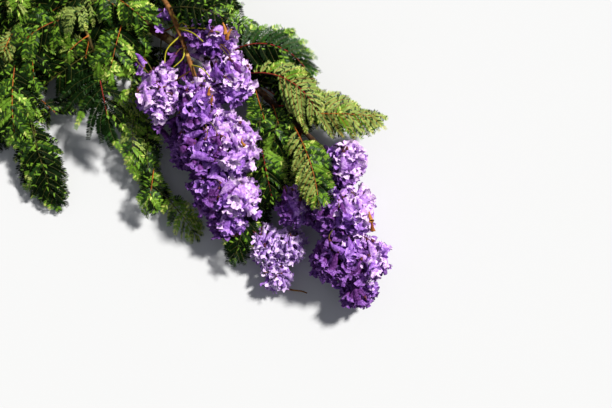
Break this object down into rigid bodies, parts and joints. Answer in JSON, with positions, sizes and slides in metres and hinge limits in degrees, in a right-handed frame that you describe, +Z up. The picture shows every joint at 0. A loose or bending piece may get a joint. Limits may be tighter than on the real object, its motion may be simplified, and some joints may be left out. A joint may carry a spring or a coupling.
{
  "type": "cut flowering jacaranda branch",
  "caption": "Cut jacaranda branch in flower, lying on a level surface: a tapering bough with side stems, drooping panicles of violet trumpet flowers and twice-feathered leaves.",
  "frame": {"origin": "middle of the branch's outline, on the level surface that it lies on", "axes": "+X across the branch towards its outer panicle, +Y from the panicles' tips towards the cut end of the bough, +Z up from the surface"},
  "size_m": [0.6444, 0.6042, 0.1272],
  "materials": {
    "bark": "rough brown bark with grey-green lichen, pale wood at the cut",
    "young_stem": "smooth orange-brown to yellow-green young bark",
    "blossom": "soft velvety petals, lilac to violet, darker at the tube",
    "leaf": "satin green leaflets, paler and yellower at the tips"
  },
  "bodies": {
    "root": {"bough": "bark", "stem_a": "young_stem", "branch_b": "young_stem", "branch_c": "young_stem", "branch_left": "young_stem", "branch_middle": "young_stem", "branch_low": "young_stem", "twig_tip": "young_stem", "blossom_a_top": "blossom", "blossom_a_left": "blossom", "blossom_a_right": "blossom", "blossom_a_centre": "blossom", "blossom_a_waist": "blossom", "blossom_a_low": "blossom", "blossom_a_end": "blossom", "blossom_a_shade": "blossom", "blossom_b_top": "blossom", "blossom_b_left": "blossom", "blossom_b_middle": "blossom", "blossom_b_low": "blossom", "blossom_b_end": "blossom", "blossom_c_stem": "blossom", "blossom_c_side": "blossom", "blossom_c_end": "blossom", "bloom_by_bough": "blossom", "bloom_by_stem": "blossom", "leaf_01": "leaf", "leaf_02": "leaf", "leaf_03": "leaf", "leaf_04": "leaf", "leaf_05": "leaf", "leaf_06": "leaf", "leaf_07": "leaf", "leaf_08": "leaf", "leaf_09": "leaf", "leaf_10": "leaf", "leaf_11": "leaf", "leaf_12": "leaf", "leaf_13": "leaf", "leaf_14": "leaf", "leaf_15": "leaf", "leaf_16": "leaf", "leaf_17": "leaf", "leaf_18": "leaf", "leaf_19": "leaf", "leaf_20": "leaf", "leaf_21": "leaf", "leaf_22": "leaf", "leaf_23": "leaf", "leaf_24": "leaf", "leaf_25": "leaf", "leaf_26": "leaf", "leaf_27": "leaf", "leaf_28": "leaf", "leaf_29": "leaf", "leaf_30": "leaf", "leaf_31": "leaf", "leaf_32": "leaf", "leaf_33": "leaf", "leaf_34": "leaf"}
  },
  "joints": []
}
